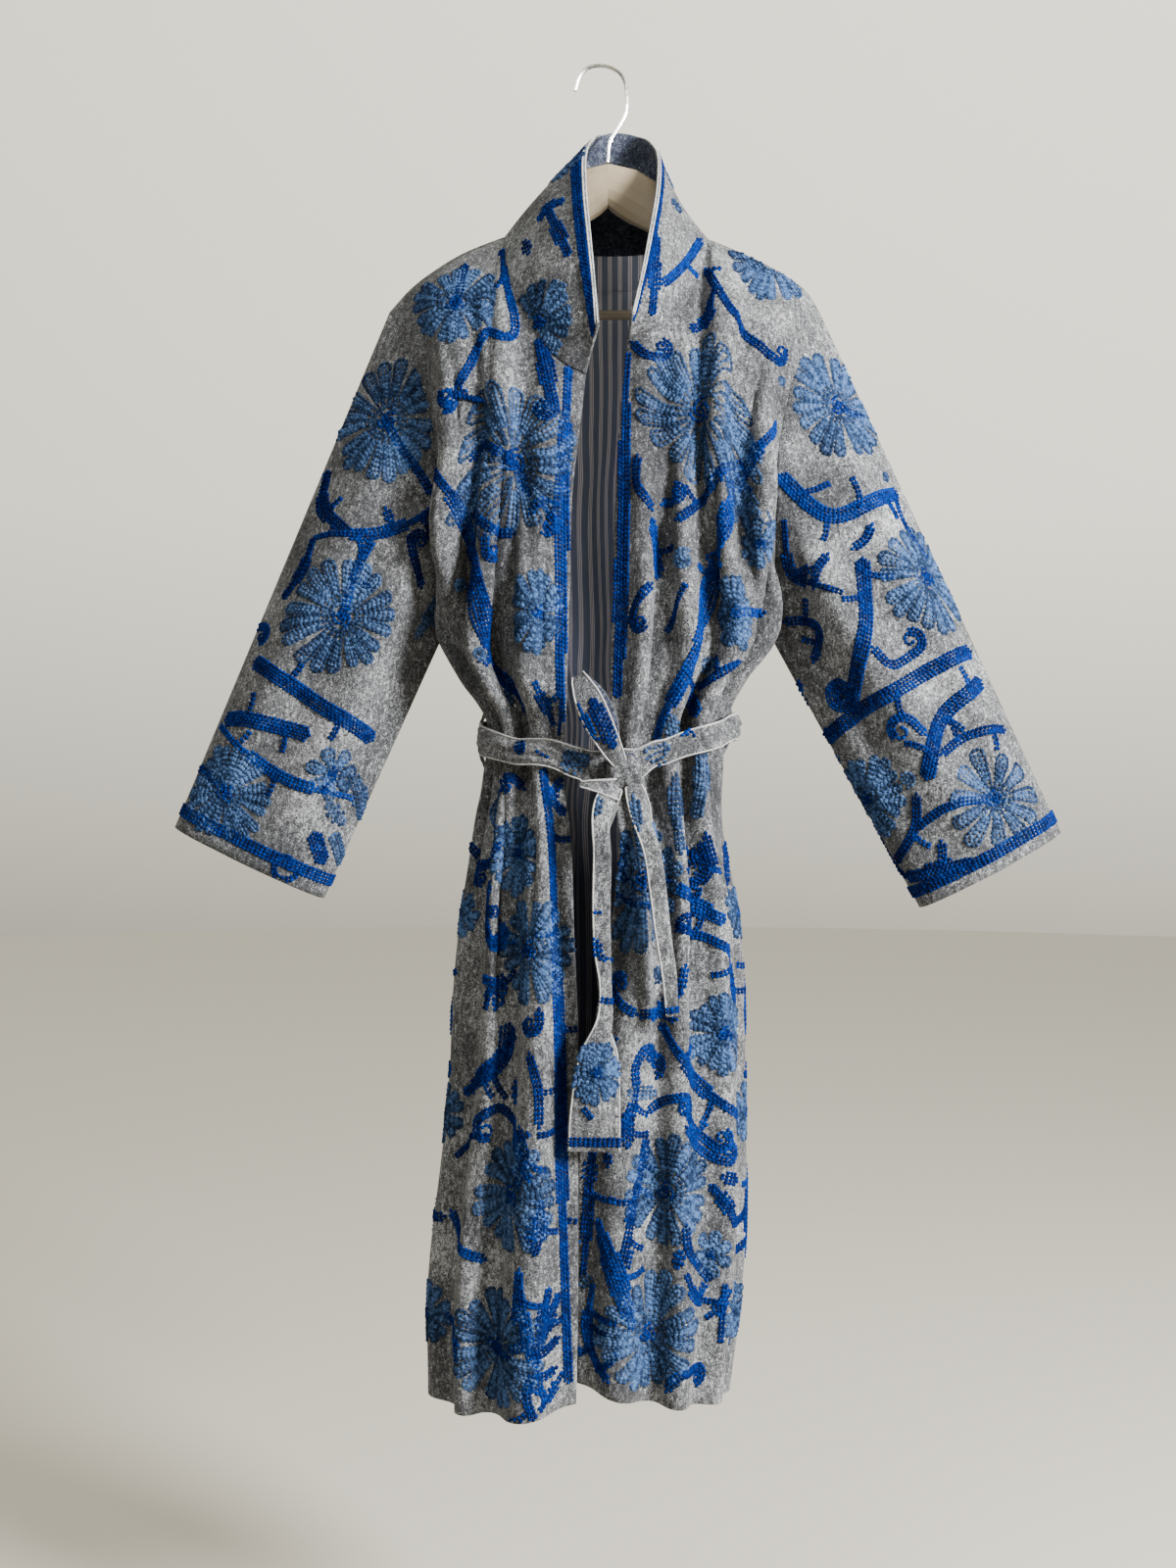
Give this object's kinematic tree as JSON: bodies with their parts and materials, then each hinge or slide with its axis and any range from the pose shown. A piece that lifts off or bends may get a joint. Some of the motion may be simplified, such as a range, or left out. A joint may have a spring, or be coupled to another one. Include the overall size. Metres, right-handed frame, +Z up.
{
  "type": "kimono robe on a hanger",
  "caption": "Long open-front robe with a wide standing collar, drop-shoulder sleeves and a tied waist sash, hanging gathered on a hook hanger.",
  "frame": {"origin": "the point inside the top of the hook's bend, where the hanger bears on its support", "axes": "+Z up, +X to the viewer's right when facing the open front, +Y away from the viewer, towards the back of the robe"},
  "size_m": [0.8598, 0.2011, 1.2921],
  "materials": {
    "robe_cloth": "matte melange cotton with embroidery in two blues",
    "striped_lining": "matte, fine pale stripes",
    "hanger_plastic": "satin cream",
    "hook_wire": "polished"
  },
  "bodies": {
    "root": {"back": "robe_cloth", "front_left": "robe_cloth", "front_right": "robe_cloth", "sleeve_left": "robe_cloth", "sleeve_right": "robe_cloth", "collar": "robe_cloth", "lining_back": "striped_lining", "belt_band": "robe_cloth", "belt_knot": "robe_cloth", "belt_bow_loop": "robe_cloth", "belt_tail_long": "robe_cloth", "belt_tail_short": "robe_cloth", "carrier_left": "robe_cloth", "carrier_right": "robe_cloth", "hanger_arms": "hanger_plastic", "hanger_bar": "hanger_plastic", "hanger_hook": "hook_wire"}
  },
  "joints": []
}
